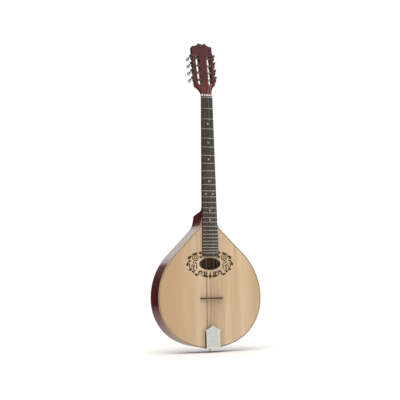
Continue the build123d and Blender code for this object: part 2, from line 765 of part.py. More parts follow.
def ear_levels():
    """The two ears' nearest and furthest faces below the headstock's face."""
    near = POST_DEPTH - WORM_LENGTH / 2 - EAR_GAP - EAR_THICKNESS
    far = POST_DEPTH + WORM_LENGTH / 2 + EAR_GAP
    return (near, far)


def tuner_plate():
    """The strip that carries one side's machines, with two ears for each worm."""
    low = POST_FIRST - PLATE_END_MARGIN
    high = post_position(TUNERS_PER_SIDE - 1) + WORM_OFFSET + EAR_WIDTH / 2 + PLATE_END
    inner = HEAD_HALF_WIDTH
    outer = inner + PLATE_STRIP
    front = ear_levels()[0]
    solid = block((inner, outer), (low, high), (-front - PLATE_WIDTH, -front))
    for number in range(TUNERS_PER_SIDE):
        along = post_position(number)
        axis = along + WORM_OFFSET
        for level in ear_levels():
            span = (axis - EAR_WIDTH / 2, axis + EAR_WIDTH / 2)
            solid += block((inner, EAR_OUTER_X), span, (-level - EAR_THICKNESS, -level))
        solid -= rod((0, along, -POST_DEPTH), (GEAR_X, along, -POST_DEPTH), POST_RADIUS + RUNNING)
        solid -= rod((GEAR_X, axis, 0), (GEAR_X, axis, -BUTTON_FROM), SHAFT_RADIUS + RUNNING)
    return solid


def plate_screw_spots():
    """Where the plate is screwed to the headstock: at its near end and between the machines."""
    spots = [POST_FIRST - PLATE_END_MARGIN + PLATE_SCREW_MARGIN]
    for number in range(1, TUNERS_PER_SIDE):
        spots.append(post_position(number) - PLATE_SCREW_BEFORE_POST)
    return spots


def plate_screw_set():
    screws = []
    for side in (-1, 1):
        for along in plate_screw_spots():
            seat = (side * (HEAD_HALF_WIDTH + PLATE_STRIP), along, -POST_DEPTH)
            out = Plane(origin=seat, z_dir=(side, 0, 0))
            screws.append(HEAD * wood_screw(out, 1.9, 1.0, 8))
    return screws


def tuner_post(number):
    """The string post, with a thinner end for the gear and a tapped hole for its screw."""
    along = post_position(number)
    shoulder = GEAR_X - GEAR_THICKNESS / 2
    end = GEAR_X + GEAR_THICKNESS / 2
    axis = (along, -POST_DEPTH)
    solid = rod((POST_INNER_END, *axis), (shoulder, *axis), POST_RADIUS)
    solid += rod((shoulder, *axis), (end, *axis), POST_NECK_RADIUS)
    string_hole = POST_STRING_X[number]
    hole_axis = (string_hole, along)
    solid -= rod((*hole_axis, 0), (*hole_axis, -2 * POST_DEPTH), 0.8)
    return solid - rod((end - 5, *axis), (end, *axis), 1.02)


def gear_profile():
    """A toothed wheel's outline: straight-flanked teeth on a root circle."""
    pitch = 360 / GEAR_TEETH
    root = pitch * GEAR_ROOT_SHARE
    crest = pitch * GEAR_TIP_SHARE
    points = []
    for tooth in range(GEAR_TEETH):
        middle = pitch * tooth
        points.append(Vector(GEAR_ROOT, 0).rotate(Axis.Z, middle - root))
        points.append(Vector(GEAR_RADIUS, 0).rotate(Axis.Z, middle - crest))
        points.append(Vector(GEAR_RADIUS, 0).rotate(Axis.Z, middle + crest))
        points.append(Vector(GEAR_ROOT, 0).rotate(Axis.Z, middle + root))
    return make_face(Polyline(*points, close=True)) - Circle(POST_NECK_RADIUS + 0.02)


def tuner_gear(number):
    """The gear on the post's end, and the screw that holds it."""
    along = post_position(number)
    face = Plane(origin=(GEAR_X - GEAR_THICKNESS / 2, along, -POST_DEPTH), z_dir=(1, 0, 0))
    wheel = extrude(face * gear_profile(), GEAR_THICKNESS)
    out = Plane(origin=(GEAR_X + GEAR_THICKNESS / 2 + 0.02, along, -POST_DEPTH), z_dir=(1, 0, 0))
    return Compound([wheel, wood_screw(out, 2.6, 1.0, 4.5)])


def tuner_worm(number):
    """The worm between the ears, on a shaft that runs back to the button."""
    axis = post_position(number) + WORM_OFFSET
    step = WORM_LENGTH / WORM_TURNS
    points = [(0, 0), (0, WORM_LENGTH)]
    for turn in range(WORM_TURNS):
        low = WORM_LENGTH - turn * step
        points += [(WORM_ROOT, low), (WORM_ROOT, low - 0.3 * step)]
        points += [(WORM_RADIUS, low - 0.5 * step), (WORM_RADIUS, low - 0.75 * step)]
    points.append((WORM_ROOT, 0))
    thread = revolve(Plane.XZ * make_face(Polyline(*points, close=True)), Axis.Z)
    foot = Pos(GEAR_X, axis, -POST_DEPTH - WORM_LENGTH / 2)
    front = -ear_levels()[0] + SHAFT_PAST_EAR
    return foot * thread + rod((GEAR_X, axis, front), (GEAR_X, axis, BUTTON_SOCKET_OUT), SHAFT_RADIUS)


def button_outline():
    """A finger button's flat oval, narrowing to its collar at the origin."""
    half = BUTTON_WIDTH / 2
    widest = (half, BUTTON_WIDEST)
    waist = (half - 1.2, BUTTON_WIDEST / 2)
    collar = (BUTTON_COLLAR, 0)
    right = Spline(collar, waist, widest, tangents=((0.1, 1), (0, 1)))
    crown = ThreePointArc(widest, (0, BUTTON_LENGTH), (-half, BUTTON_WIDEST))
    foot = Line((-BUTTON_COLLAR, 0), collar)
    return make_face((Curve() + [right, mirror(right, Plane.YZ), crown, foot]).edges())


def tuner_button(number):
    """The finger button: a flat oval that hangs back from the headstock on the worm's shaft."""
    axis = post_position(number) + WORM_OFFSET
    plate = extrude(button_outline(), BUTTON_THICKNESS / 2, both=True)
    plate = fillet(plate.faces().filter_by(Axis.Z).edges(), BUTTON_EDGE)
    collar = (GEAR_X, axis, -BUTTON_FROM)
    facing = Plane(origin=collar, x_dir=(0, 1, 0), z_dir=(-1, 0, 0))
    return facing * plate - rod(collar, (GEAR_X, axis, BUTTON_SOCKET_OUT), SHAFT_RADIUS)


def on_both_sides(name, maker):
    """A machine part for every tuner, mirrored for the left-hand side."""
    made = {}
    for number in range(TUNERS_PER_SIDE):
        right = maker(number)
        made[f"tuner_right_{number + 1}_{name}"] = HEAD * right
        made[f"tuner_left_{number + 1}_{name}"] = HEAD * mirror(right, Plane.YZ)
    return made


def all_nodes():
    plate = tuner_plate()
    screws = plate_screw_set()
    nodes = {
        "soundboard": soundboard(),
        "back": back_plate(),
        "sides": sides(),
        "top_binding": binding(FRONT),
        "back_binding": binding(BACK - PLATE_THICKNESS),
        "linings": linings(),
        "top_braces": top_braces(),
        "back_braces": back_braces(),
        "neck_block": neck_block(),
        "tail_block": tail_block(),
        "neck": neck(),
        "truss_rod": rod_channel(),
        "fingerboard": fingerboard(),
        "frets": Compound([fret(z) for z in fret_levels()]),
        "fret_dots": Compound(dots()),
        "nut": nut(),
        "rosette": rosette(),
        "bridge": bridge(),
        "wound_strings": strings((0, 1)),
        "plain_strings": strings((2, 3)),
        "tailpiece_base": tailpiece_base(),
        "tailpiece_cover": tailpiece_cover(),
        "tailpiece_screws": Compound(tailpiece_screw_set()),
        "strap_button": strap_button(),
        "tuner_plate_left": HEAD * mirror(plate, Plane.YZ) - screws,
        "tuner_plate_right": HEAD * plate - screws,
        "tuner_plate_screws": Compound(screws),
    }
    makers = {"post": tuner_post, "gear": tuner_gear, "worm": tuner_worm, "button": tuner_button}
    for name, maker in makers.items():
        nodes.update(on_both_sides(name, maker))
    return nodes


if __name__ == "__main__":
    os.makedirs("parts", exist_ok=True)
    for node_name, node_shape in all_nodes().items():
        export_step(node_shape, f"parts/{node_name}.step")
    print("body top", round(BODY_TOP, 2), "zero fret", round(ZERO_FRET, 2))
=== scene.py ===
import json
from math import cos, pi, radians, sin

import bmesh
import bpy
from mathutils import Matrix, Vector


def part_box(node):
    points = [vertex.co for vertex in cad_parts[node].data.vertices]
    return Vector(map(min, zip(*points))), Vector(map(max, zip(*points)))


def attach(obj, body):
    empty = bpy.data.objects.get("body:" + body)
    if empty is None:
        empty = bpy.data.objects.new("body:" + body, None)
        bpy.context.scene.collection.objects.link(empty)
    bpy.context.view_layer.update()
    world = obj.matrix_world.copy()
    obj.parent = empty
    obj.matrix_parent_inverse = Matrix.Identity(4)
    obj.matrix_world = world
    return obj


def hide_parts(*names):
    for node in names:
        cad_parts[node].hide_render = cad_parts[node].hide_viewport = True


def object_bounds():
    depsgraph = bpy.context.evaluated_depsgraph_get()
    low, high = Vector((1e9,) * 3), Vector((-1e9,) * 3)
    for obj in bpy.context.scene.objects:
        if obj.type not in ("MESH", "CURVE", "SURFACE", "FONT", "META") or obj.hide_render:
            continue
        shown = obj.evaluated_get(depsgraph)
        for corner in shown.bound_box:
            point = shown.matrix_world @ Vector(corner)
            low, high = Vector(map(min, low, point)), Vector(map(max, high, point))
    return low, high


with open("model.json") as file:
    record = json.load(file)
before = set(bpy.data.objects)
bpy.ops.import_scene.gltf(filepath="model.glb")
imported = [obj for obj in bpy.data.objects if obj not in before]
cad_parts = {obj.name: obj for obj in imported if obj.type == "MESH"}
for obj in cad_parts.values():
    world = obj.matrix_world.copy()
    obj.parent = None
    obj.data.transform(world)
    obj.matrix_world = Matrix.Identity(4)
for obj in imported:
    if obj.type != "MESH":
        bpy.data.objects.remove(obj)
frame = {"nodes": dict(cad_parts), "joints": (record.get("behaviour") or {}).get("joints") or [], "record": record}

MM = 0.001
CAD_LOW, CAD_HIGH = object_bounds()
JOINTS = {joint["name"]: joint for joint in frame["joints"]}
NODES = frame["nodes"]
ROOT = "instrument"
SIDES = ("left", "right")
TUNERS = (1, 2, 3, 4)
TOP_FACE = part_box("soundboard")[0].y
NUT_HALF = (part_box("nut")[1].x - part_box("nut")[0].x) / 2
EDGE_STAIN = 1.5 * MM          # the stained strip along the fingerboard's edges
THROAT_RISE = (0.842, 0.862)   # heights where the brighter red band at the throat sets in
THROAT_FALL = (0.868, 0.900)   # and where it ends
LEFT_EDGE_PAINTED_SHADE = (-0.020, -0.140)  # where the soundboard is painted darker and more amber towards its left edge: painted shade
# where the soundboard is painted darker towards its right edge
RIGHT_EDGE_DARKENING = (0.115, 0.165)
RANGE_SOCKETS = ("From Min", "From Max", "To Min", "To Max")


# ---- Procedural materials ----

class Paint:
    """A material's node tree, with short names for the nodes it needs."""

    def __init__(self, name, **sockets):
        self.material = bpy.data.materials.new(name)
        self.material.use_nodes = True
        self.nodes = self.material.node_tree.nodes
        self.links = self.material.node_tree.links
        self.shader = self.nodes["Principled BSDF"]
        self.place = self.nodes.new("ShaderNodeTexCoord").outputs["Object"]
        for socket, value in sockets.items():
            self.shader.inputs[socket.replace("_", " ")].default_value = value

    def stretched(self, x, y, z):
        node = self.nodes.new("ShaderNodeMapping")
        node.inputs["Scale"].default_value = (x, y, z)
        self.links.new(self.place, node.inputs["Vector"])
        return node.outputs["Vector"]

    def noise(self, vector, scale, detail=3.0, distortion=0.0):
        node = self.nodes.new("ShaderNodeTexNoise")
        node.inputs["Scale"].default_value = scale
        node.inputs["Detail"].default_value = detail
        node.inputs["Distortion"].default_value = distortion
        self.links.new(vector, node.inputs["Vector"])
        return node.outputs["Fac"]

    def cells(self, vector, scale):
        node = self.nodes.new("ShaderNodeTexVoronoi")
        node.inputs["Scale"].default_value = scale
        self.links.new(vector, node.inputs["Vector"])
        return node.outputs["Distance"]

    def wave(self, vector, scale, direction="Z", distortion=0.0):
        node = self.nodes.new("ShaderNodeTexWave")
        node.bands_direction = direction
        node.inputs["Scale"].default_value = scale
        node.inputs["Distortion"].default_value = distortion
        self.links.new(vector, node.inputs["Vector"])
        return node.outputs["Fac"]

    def axis(self, name):
        node = self.nodes.new("ShaderNodeSeparateXYZ")
        self.links.new(self.place, node.inputs["Vector"])
        return node.outputs[name]

    def between(self, value, low, high, to_low=0.0, to_high=1.0):
        """A value's place between two limits, eased, as a share."""
        node = self.nodes.new("ShaderNodeMapRange")
        node.interpolation_type = "SMOOTHSTEP"
        for socket, number in zip(RANGE_SOCKETS, (low, high, to_low, to_high)):
            node.inputs[socket].default_value = number
        self.links.new(value, node.inputs["Value"])
        return node.outputs["Result"]

    def times(self, first, second):
        return self.math("MULTIPLY", first, second)

    def board_edge(self):
        """A share that is 1 on the fingerboard's side faces and its outermost strip."""
        low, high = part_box("fingerboard")
        half = self.nodes.new("ShaderNodeMapRange")
        half.clamp = False
        for socket, number in zip(RANGE_SOCKETS, (low.z, high.z, high.x, NUT_HALF)):
            half.inputs[socket].default_value = number
        self.links.new(self.axis("Z"), half.inputs["Value"])
        reach = self.math("SUBTRACT", half.outputs["Result"], self.math("ABSOLUTE", self.axis("X")))
        return self.between(reach, EDGE_STAIN, EDGE_STAIN + 0.3 * MM, 1.0, 0.0)

    def math(self, operation, *values):
        node = self.nodes.new("ShaderNodeMath")
        node.operation = operation
        for socket, value in zip(node.inputs, values):
            self.links.new(value, socket)
        return node.outputs["Value"]

    def ramp(self, value, *stops):
        node = self.nodes.new("ShaderNodeValToRGB")
        elements = node.color_ramp.elements
        while len(elements) < len(stops):
            elements.new(0.5)
        for element, (position, colour) in zip(elements, stops):
            element.position = position
            element.color = (*colour, 1.0)
        self.links.new(value, node.inputs["Fac"])
        return node.outputs["Color"]

    def mix(self, share, first, second, blend="MIX"):
        node = self.nodes.new("ShaderNodeMix")
        node.data_type = "RGBA"
        node.blend_type = blend
        for socket, value in ((node.inputs[0], share), (node.inputs[6], first), (node.inputs[7], second)):
            if isinstance(value, float):
                socket.default_value = value
            elif isinstance(value, tuple):
                socket.default_value = (*value, 1.0)
            else:
                self.links.new(value, socket)
        return node.outputs[2]

    def set(self, socket, output):
        self.links.new(output, self.shader.inputs[socket])

    def bump(self, height, distance, strength=1.0):
        node = self.nodes.new("ShaderNodeBump")
        node.inputs["Strength"].default_value = strength
        node.inputs["Distance"].default_value = distance
        self.links.new(height, node.inputs["Height"])
        self.set("Normal", node.outputs["Normal"])


def spruce(name, tone=1.0, darker_edges=True):
    """Quarter-sawn spruce under gloss: fine upright grain, wide bands of tone, and edges painted darker and more
    amber, on the left as painted shade.
    """
    paint = Paint(name, Roughness=0.38, Coat_Weight=0.5, Coat_Roughness=0.12)
    pale = tuple(tone * value for value in (0.652, 0.490, 0.320))
    ripe = tuple(tone * value for value in (0.583, 0.418, 0.258))
    deep = tuple(tone * value for value in (0.48, 0.315, 0.165))
    fine = paint.noise(paint.stretched(1, 1, 0.012), 620.0, 2.0)
    wide = paint.noise(paint.stretched(1, 1, 0.06), 34.0, 2.0)
    flame = paint.noise(paint.stretched(1, 1, 2.2), 30.0, 3.0)
    colour = paint.mix(paint.between(fine, 0.36, 0.66), pale, ripe)
    colour = paint.mix(paint.between(wide, 0.48, 0.66, 0.0, 0.55), colour, deep)
    colour = paint.mix(paint.between(flame, 0.55, 0.8, 0.0, 0.16), colour, pale)
    if darker_edges:
        # The edges are mixed towards the deep tone: on the left this is painted shade where the light falls off,
        # on the right a darker edge.
        left = paint.between(paint.axis("X"), *LEFT_EDGE_PAINTED_SHADE, 0.0, 1.0)
        right = paint.between(paint.axis("X"), *RIGHT_EDGE_DARKENING, 0.0, 0.8)
        colour = paint.mix(left, colour, deep)
        colour = paint.mix(right, colour, deep)
    paint.set("Base Color", colour)
    paint.set("Roughness", paint.between(fine, 0.3, 0.7, 0.33, 0.46))
    paint.bump(fine, 0.00002, 0.25)
    return paint.material


def mahogany(name, tone=1.0, bare_before=None):
    """Dark red stained mahogany under gloss, left bare in front of a given depth."""
    paint = Paint(name, Roughness=0.42, Coat_Weight=1.0, Coat_Roughness=0.03, Specular_IOR_Level=0.2)
    red = tuple(tone * value for value in (0.090, 0.0085, 0.0115))
    dark = tuple(tone * value for value in (0.046, 0.0042, 0.007))
    pores = paint.noise(paint.stretched(1, 1, 0.03), 900.0, 2.0)
    figure = paint.noise(paint.stretched(1, 1, 0.16), 42.0, 4.0, 0.6)
    colour = paint.mix(paint.between(figure, 0.25, 0.8), red, dark)
    colour = paint.mix(paint.between(pores, 0.55, 0.8, 0.0, 0.6), colour, dark)
    # A brighter red band at the throat, between the THROAT_RISE and THROAT_FALL heights.
    bright = tuple(tone * value for value in (0.20, 0.018, 0.024))
    throat = paint.between(paint.axis("Z"), *THROAT_RISE, 0.0, 0.5)
    past = paint.between(paint.axis("Z"), *THROAT_FALL, 1.0, 0.0)
    colour = paint.mix(paint.times(throat, past), colour, bright)
    if bare_before is not None:
        bare = paint.between(paint.axis("Y"), bare_before, bare_before + 0.2 * MM, 1.0, 0.0)
        plain = paint.mix(paint.between(figure, 0.3, 0.7), (0.40, 0.26, 0.20), (0.28, 0.17, 0.13))
        colour = paint.mix(bare, colour, plain)
    paint.set("Base Color", colour)
    paint.bump(pores, 0.00001, 0.06)
    return paint.material


def raw_wood(name, pale, dark, roughness=0.75):
    paint = Paint(name, Roughness=roughness)
    grain = paint.noise(paint.stretched(1, 1, 0.05), 380.0, 3.0)
    patches = paint.noise(paint.stretched(1, 1, 0.3), 24.0, 2.0)
    colour = paint.mix(paint.between(grain, 0.3, 0.7), pale, dark)
    colour = paint.mix(paint.between(patches, 0.4, 0.8, 0.0, 0.5), colour, dark)
    paint.set("Base Color", colour)
    paint.bump(grain, 0.00004, 0.35)
    return paint.material


def rosewood(name, pale=(0.066, 0.047, 0.036), brown=(0.034, 0.026, 0.021), stained=False):
    """Dark open-grained wood with short pores and brown streaks, its side faces stained dark red."""
    paint = Paint(name, Roughness=0.42, Specular_IOR_Level=0.5)
    pores = paint.noise(paint.stretched(1, 1, 0.06), 1300.0, 3.0)
    streaks = paint.noise(paint.stretched(1, 1, 0.04), 150.0, 3.0)
    colour = paint.mix(paint.between(streaks, 0.35, 0.7), brown, pale)
    colour = paint.mix(paint.between(pores, 0.55, 0.75, 0.0, 0.7), colour, (0.012, 0.009, 0.008))
    if stained:
        colour = paint.mix(paint.board_edge(), colour, (0.040, 0.010, 0.012))
    paint.set("Base Color", colour)
    paint.set("Roughness", paint.between(pores, 0.3, 0.8, 0.36, 0.6))
    paint.bump(pores, 0.00003, 0.4)
    return paint.material


def metal(name, light, dark, roughness, wear=0.12, scale=220.0, brushed=0.2):
    """Plated or drawn metal with fine brushing and faint tarnish in patches."""
    paint = Paint(name, Metallic=1.0)
    tarnish = paint.noise(paint.stretched(1, 1, 1), scale, 4.0)
    brush = paint.noise(paint.stretched(1, 1, brushed), 1500.0, 2.0)
    paint.set("Base Color", paint.mix(paint.between(tarnish, 0.35, 0.75), light, dark))
    paint.set("Roughness", paint.between(brush, 0.3, 0.7, roughness, roughness + wear))
    paint.bump(brush, 0.00001, 0.3)
    return paint.material


def wound_wire(name):
    """Bronze wrap wire round a core, its turns seen as fine ridges."""
    paint = Paint(name, Metallic=1.0, Roughness=0.34)
    turns = paint.wave(paint.stretched(1, 1, 1), 900.0)
    patches = paint.noise(paint.stretched(1, 1, 1), 120.0)
    colour = paint.mix(paint.between(turns, 0.1, 0.9), (0.11, 0.072, 0.045), (0.25, 0.18, 0.115))
    colour = paint.mix(paint.between(patches, 0.4, 0.8, 0.0, 0.4), colour, (0.13, 0.09, 0.06))
    paint.set("Base Color", colour)
    paint.bump(turns, 0.00012, 0.8)
    return paint.material


def pearl(name, tint=(0.34, 0.35, 0.30)):
    """Pearloid: cloudy swirls of white, grey green and rose under a clear coat."""
    paint = Paint(name, Roughness=0.28, Coat_Weight=0.6, Coat_Roughness=0.06, Subsurface_Weight=0.1)
    swirl = paint.noise(paint.stretched(1, 1, 1), 260.0, 3.0, 2.2)
    cloud = paint.cells(paint.stretched(1, 1, 1), 340.0)
    colour = paint.ramp(
        swirl, (0.3, tuple(0.7 * value for value in tint)), (0.5, tint),
        (0.68, (1.25 * tint[0], 1.12 * tint[1], 1.2 * tint[2]))
    )
    light = tuple(1.35 * value for value in tint)
    paint.set("Base Color", paint.mix(paint.between(cloud, 0.1, 0.6, 0.0, 0.35), colour, light))
    paint.set("Roughness", paint.between(swirl, 0.3, 0.7, 0.2, 0.38))
    return paint.material


def bone(name, pale=(0.80, 0.66, 0.60), dark=(0.66, 0.50, 0.42)):
    paint = Paint(name, Roughness=0.4, Subsurface_Weight=0.15)
    fleck = paint.noise(paint.stretched(0.4, 1, 1), 700.0, 3.0)
    cloud = paint.noise(paint.stretched(1, 1, 1), 130.0, 2.0)
    colour = paint.mix(paint.between(fleck, 0.5, 0.8, 0.0, 0.7), pale, dark)
    paint.set("Base Color", paint.mix(paint.between(cloud, 0.4, 0.8, 0.0, 0.4), colour, dark))
    paint.bump(fleck, 0.00002, 0.2)
    return paint.material


def inlay(name):
    """Walnut-dark scroll veneer, with its own fine grain."""
    paint = Paint(name, Roughness=0.5, Specular_IOR_Level=0.2)
    grain = paint.noise(paint.stretched(1, 1, 0.12), 800.0, 3.0)
    colour = paint.mix(paint.between(grain, 0.3, 0.75), (0.055, 0.026, 0.009), (0.024, 0.011, 0.004))
    paint.set("Base Color", colour)
    paint.bump(grain, 0.00002, 0.3)
    return paint.material


def engraved(name, low, high):
    """Nickel plate: a plain bright border round a field matted by fine engraving, its side walls painted dark as
    shade.
    """
    paint = Paint(name, Metallic=0.85)
    field = paint.between(paint.axis("X"), high.x - 0.0042, high.x - 0.0050)
    field = paint.times(field, paint.between(paint.axis("X"), low.x + 0.0042, low.x + 0.0050))
    field = paint.times(field, paint.between(paint.axis("Z"), low.z + 0.003, low.z + 0.004))
    matting = paint.cells(paint.stretched(1, 1, 1), 900.0)
    clouds = paint.noise(paint.stretched(1, 1, 1), 190.0, 4.0, 1.0)
    plain = paint.mix(paint.between(clouds, 0.3, 0.7), (0.88, 0.85, 0.76), (0.80, 0.77, 0.69))
    matted = paint.mix(paint.between(clouds, 0.35, 0.65), (0.78, 0.80, 0.79), (0.60, 0.62, 0.61))
    matted = paint.mix(paint.between(matting, 0.2, 0.6, 0.0, 0.45), matted, (0.72, 0.73, 0.72))
    # The side walls behind the front face are painted dark brown: painted shade.
    shaded_walls = paint.between(paint.axis("Y"), low.y + 0.0004, low.y + 0.0012)
    face = paint.mix(field, plain, matted)
    paint.set("Base Color", paint.mix(shaded_walls, face, (0.085, 0.075, 0.045)))
    paint.set("Roughness", paint.between(field, 0.0, 1.0, 0.3, 0.5))
    paint.bump(paint.times(matting, field), 0.0001, 0.6)
    return paint.material


COVER_LOW, COVER_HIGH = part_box("tailpiece_cover")
FINISH = {
    "spruce": spruce("spruce"),
    "rosette_inlay": inlay("rosette_inlay"),
    "mahogany_gloss": mahogany("mahogany_gloss"),
    "binding": raw_wood("binding", (0.46, 0.34, 0.22), (0.34, 0.24, 0.15), 0.4),
    "raw_wood": raw_wood("raw_wood", (0.26, 0.15, 0.085), (0.17, 0.09, 0.05)),
    "rosewood": rosewood("rosewood", stained=True),
    "fret_wire": metal("fret_wire", (0.66, 0.63, 0.58), (0.50, 0.47, 0.43), 0.26),
    "pearl": pearl("pearl"),
    "bone": bone("bone"),
    "bronze_string": wound_wire("bronze_string"),
    "steel": metal("steel", (0.34, 0.31, 0.27), (0.24, 0.215, 0.185), 0.36),
    "nickel": metal("nickel", (0.72, 0.70, 0.65), (0.55, 0.53, 0.48), 0.22),
    "brass_plate": metal("brass_plate", (0.17, 0.125, 0.08), (0.075, 0.057, 0.037), 0.32),
}
ROSETTE_RING = spruce("rosette_ring", 1.02, False)
DOT_PEARL = pearl("dot_pearl", (0.60, 0.58, 0.54))
COVER_METAL = engraved("engraved_nickel", COVER_LOW, COVER_HIGH)
BACK_WOOD = mahogany("back_mahogany", 0.9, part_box("back")[0].y + 0.4 * MM)
BRIDGE_WOOD = rosewood("bridge_rosewood", (0.055, 0.024, 0.010), (0.032, 0.013, 0.006))


SLOT_OF = {part["node"]: part["material_slot"] for part in frame["record"]["subparts"]}
OWN_LOOKS = {
    "rosette": ROSETTE_RING,
    "fret_dots": DOT_PEARL,
    "tailpiece_cover": COVER_METAL,
    "back": BACK_WOOD,
    "bridge": BRIDGE_WOOD,
}
for node_name, node_object in NODES.items():
    finish = OWN_LOOKS.get(node_name) or FINISH[SLOT_OF[node_name]]
    node_object.data.materials.clear()
    node_object.data.materials.append(finish)


# ---- Mesh helpers ----

def add_piece(name, mesh, body, slot, looks=None, smooth=True, replaces=()):
    """Puts a bmesh into the scene as a piece that rides on a body."""
    bmesh.ops.remove_doubles(mesh, verts=mesh.verts, dist=1e-7)
    bmesh.ops.recalc_face_normals(mesh, faces=mesh.faces)
    data = bpy.data.meshes.new(name)
    mesh.to_mesh(data)
    mesh.free()
    if smooth:
        data.shade_smooth()
        data.set_sharp_from_angle(angle=radians(32))
    piece = bpy.data.objects.new(name, data)
    bpy.context.scene.collection.objects.link(piece)
    data.materials.append(looks or FINISH[slot])
    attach(piece, body)
    if replaces:
        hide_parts(*replaces)
    return piece


def skin(mesh, rings, closed=False, caps=True):
    """Joins rings of points with the same count into a closed skin."""
    rows = [[mesh.verts.new(point) for point in ring] for ring in rings]
    count = len(rows[0])
    pairs = list(zip(rows, rows[1:]))
    if closed:
        pairs.append((rows[-1], rows[0]))
    for first, second in pairs:
        for index in range(count):
            after = (index + 1) % count
            mesh.faces.new((first[index], first[after], second[after], second[index]))
    if caps and not closed:
        mesh.faces.new(list(reversed(rows[0])))
        mesh.faces.new(rows[-1])


def square_to(axis):
    """Two directions square to an axis, turning right-handed about it."""
    axis = Vector(axis).normalized()
    first = axis.orthogonal().normalized()
    return axis, first, axis.cross(first)


def lathe(mesh, profile, origin, axis, steps=36):
    """A turned solid: the profile is pairs of radius and distance along the axis."""
    axis, first, second = square_to(axis)
    rings = []
    for radius, height in profile:
        centre = Vector(origin) + axis * height
        ring = []
        for step in range(steps):
            angle = 2 * pi * step / steps
            ring.append(centre + (first * cos(angle) + second * sin(angle)) * max(radius, 1e-6))
        rings.append(ring)
    skin(mesh, rings)


def tube(mesh, path, radius, steps=10):
    """A round wire along a path of points."""
    rings = []
    side = None
    for index, point in enumerate(path):
        ahead = path[min(index + 1, len(path) - 1)] - path[max(index - 1, 0)]
        ahead.normalize()
        side = ahead.orthogonal() if side is None else side - ahead * side.dot(ahead)
        side.normalize()
        other = ahead.cross(side)
        ring = []
        for step in range(steps):
            angle = 2 * pi * step / steps
            ring.append(point + (side * cos(angle) + other * sin(angle)) * radius)
        rings.append(ring)
    skin(mesh, rings)


def front_outline(node):
    """The outer edge of a node's front face, in order, as points of X and Z."""
    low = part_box(node)[0]
    mesh = bmesh.new()
    mesh.from_mesh(NODES[node].data)
    bmesh.ops.remove_doubles(mesh, verts=mesh.verts, dist=1e-6)
    flat = {face for face in mesh.faces if all(abs(vert.co.y - low.y) < 1e-5 for vert in face.verts)}
    rim = [edge for edge in mesh.edges if sum(face in flat for face in edge.link_faces) == 1]
    after = {}
    for edge in rim:
        for vert, other in (edge.verts, reversed(edge.verts)):
            after.setdefault(vert, []).append(other)
    loops = []
    left = set(after)
    while left:
        start = min(left, key=lambda vert: vert.index)
        loop = [start]
        left.discard(start)
        moving = True
        while moving:
            moving = False
            for other in after[loop[-1]]:
                if other in left:
                    loop.append(other)
                    left.discard(other)
                    moving = True
                    break
        loops.append([Vector((vert.co.x, vert.co.z)) for vert in loop])
    mesh.free()

    def length(loop):
        return sum((a - b).length for a, b in zip(loop, loop[1:] + loop[:1]))

    longest = max(loops, key=length)
    area = sum(a.x * b.y - b.x * a.y for a, b in zip(longest, longest[1:] + longest[:1]))
    return longest if area > 0 else list(reversed(longest))


def even_steps(loop, step):
    """A closed outline, with points added on its long edges."""
    points = []
    for first, second in zip(loop, loop[1:] + loop[:1]):
        pieces = max(1, round((second - first).length / step))
        points += [first.lerp(second, index / pieces) for index in range(pieces)]
    return points


def shrunk(loop, inset):
    """A closed outline moved inwards."""
    moved = []
    count = len(loop)
    for index, point in enumerate(loop):
        before = (point - loop[index - 1]).normalized()
        ahead = (loop[(index + 1) % count] - point).normalized()
        inward = Vector((-before.y - ahead.y, before.x + ahead.x)).normalized()
        share = max(0.5, inward.dot(Vector((-before.y, before.x))))
        moved.append(point + inward * inset / share)
    return moved


def flat_band(mesh, outer, inner, front, back):
    """A thin closed band between two outlines, from y = front to y = back."""
    rings = []
    for first, second in zip(outer, inner):
        rings.append([
            Vector((first.x, back, first.y)),
            Vector((first.x, front, first.y)),
            Vector((second.x, front, second.y)),
            Vector((second.x, back, second.y)),
        ])
    skin(mesh, rings, closed=True)


def ribbon(mesh, centres, halves, front, back):
    """A flat stroke of changing width along a line of X and Z points."""
    rings = []
    for index, (centre, half) in enumerate(zip(centres, halves)):
        ahead = centres[min(index + 1, len(centres) - 1)] - centres[max(index - 1, 0)]
        across = Vector((-ahead.y, ahead.x)).normalized() * half
        first, second = centre + across, centre - across
        rings.append([
            Vector((first.x, back, first.y)),
            Vector((first.x, front, first.y)),
            Vector((second.x, front, second.y)),
            Vector((second.x, back, second.y)),
        ])
    skin(mesh, rings)


def smooth_line(points, steps=8):
    """A soft line through points, rounded at each."""
    padded = [points[0] * 2 - points[1], *points, points[-1] * 2 - points[-2]]
    line = []
    for a, b, c, d in zip(padded, padded[1:], padded[2:], padded[3:]):
        for step in range(steps):
            t = step / steps
            square = 2 * a - 5 * b + 4 * c - d
            cube = 3 * b - a - 3 * c + d
            line.append(0.5 * (2 * b + (c - a) * t + square * t * t + cube * t ** 3))
    line.append(points[-1])
    return line


LEAF_FULLNESS = 3.0            # a leaf's widest half, as a multiple of its stated one
STROKE_FULLNESS = 1.7


def leaf(mesh, thin, thick, half, bend, place, front, back, steps=12):
    """A leaf from its thin end to its thick end, bent sideways."""
    thin, thick = Vector(thin), Vector(thick)
    across = Vector((-(thick - thin).y, (thick - thin).x)).normalized()
    centres, halves = [], []
    for step in range(steps + 1):
        t = step / steps
        centres.append(place(thin.lerp(thick, t) + across * bend * sin(pi * t)))
        halves.append(MM * max(0.04, half * LEAF_FULLNESS * (t ** 0.9) * (1 - t) ** 0.42))
    ribbon(mesh, centres, halves, front, back)


def stroke(mesh, points, half, place, front, back):
    """A line of the scrollwork, a little thinner at its ends."""
    line = smooth_line([Vector(point) for point in points])
    last = len(line) - 1
    full = MM * half * STROKE_FULLNESS
    halves = [full * (0.65 + 0.35 * sin(pi * index / last)) for index in range(last + 1)]
    ribbon(mesh, [place(point) for point in line], halves, front, back)


